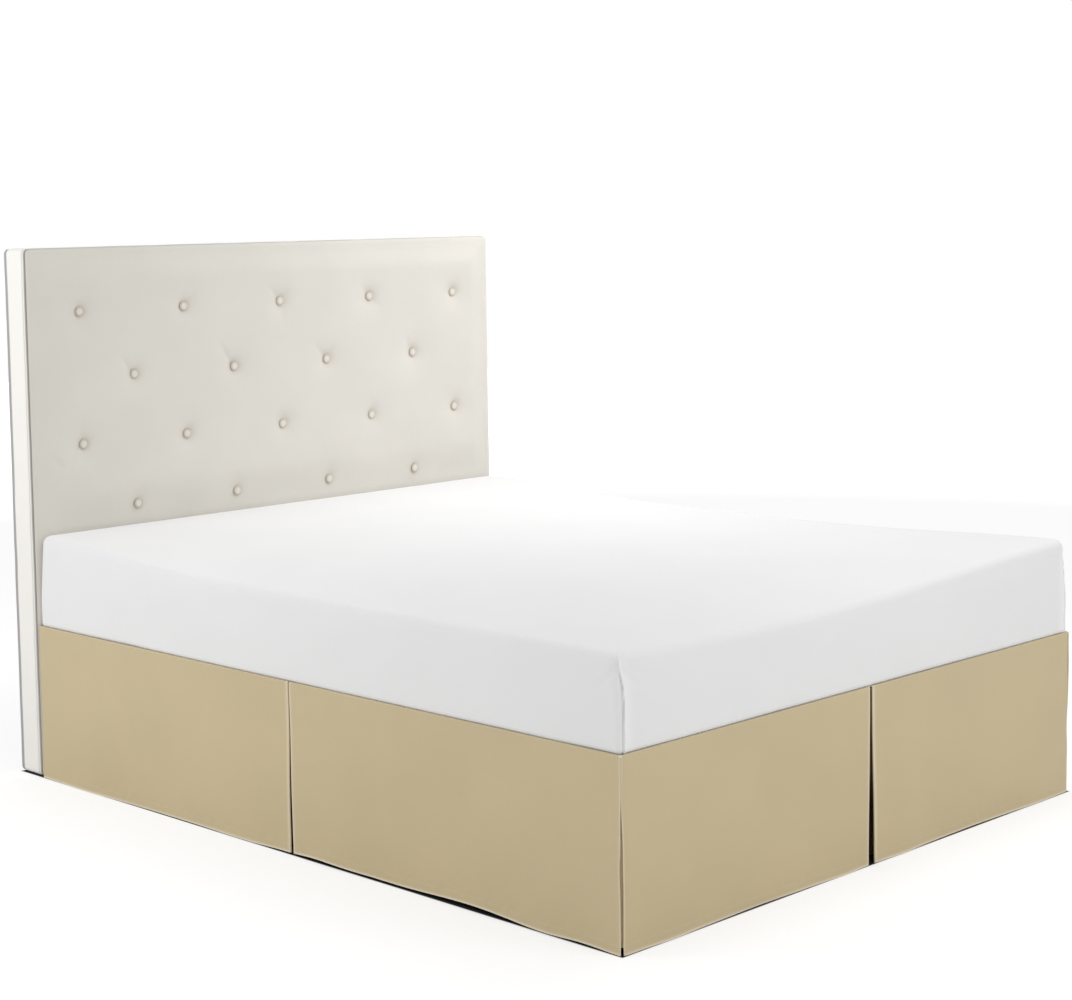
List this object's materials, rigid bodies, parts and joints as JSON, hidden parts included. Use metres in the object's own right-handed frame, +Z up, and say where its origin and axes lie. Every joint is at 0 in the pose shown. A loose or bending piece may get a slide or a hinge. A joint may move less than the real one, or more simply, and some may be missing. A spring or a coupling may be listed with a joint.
{
  "type": "bed skirt on a bed",
  "caption": "Tailored bed skirt with inverted pleats and split corners, on a plain bed with an upholstered headboard.",
  "frame": {"origin": "on the floor under the middle of the bed, halfway from the foot drop's face to the headboard's back", "axes": "+Z up, +Y towards the headboard, +X to the right for someone who looks at the bed from its foot"},
  "size_m": [1.6094, 2.1091, 1.345],
  "materials": {
    "skirt_cloth": "satin",
    "platform_cloth": "matte",
    "sheet_cloth": "matte",
    "ticking": "matte",
    "board_cloth": "matte",
    "leg_wood": "satin"
  },
  "bodies": {
    "root": {"drop_left": "skirt_cloth", "drop_right": "skirt_cloth", "drop_foot": "skirt_cloth", "inset_left": "skirt_cloth", "inset_right": "skirt_cloth", "platform": "platform_cloth", "mattress": "sheet_cloth", "foundation": "ticking", "headboard": "board_cloth", "leg_foot_left": "leg_wood", "leg_foot_right": "leg_wood", "leg_middle_left": "leg_wood", "leg_middle_right": "leg_wood", "leg_head_left": "leg_wood", "leg_head_right": "leg_wood", "button_1_1": "board_cloth", "button_1_2": "board_cloth", "button_1_3": "board_cloth", "button_1_4": "board_cloth", "button_1_5": "board_cloth", "button_2_1": "board_cloth", "button_2_2": "board_cloth", "button_2_3": "board_cloth", "button_2_4": "board_cloth", "button_3_1": "board_cloth", "button_3_2": "board_cloth", "button_3_3": "board_cloth", "button_3_4": "board_cloth", "button_3_5": "board_cloth", "button_4_1": "board_cloth", "button_4_2": "board_cloth", "button_4_3": "board_cloth", "button_4_4": "board_cloth"}
  },
  "joints": []
}
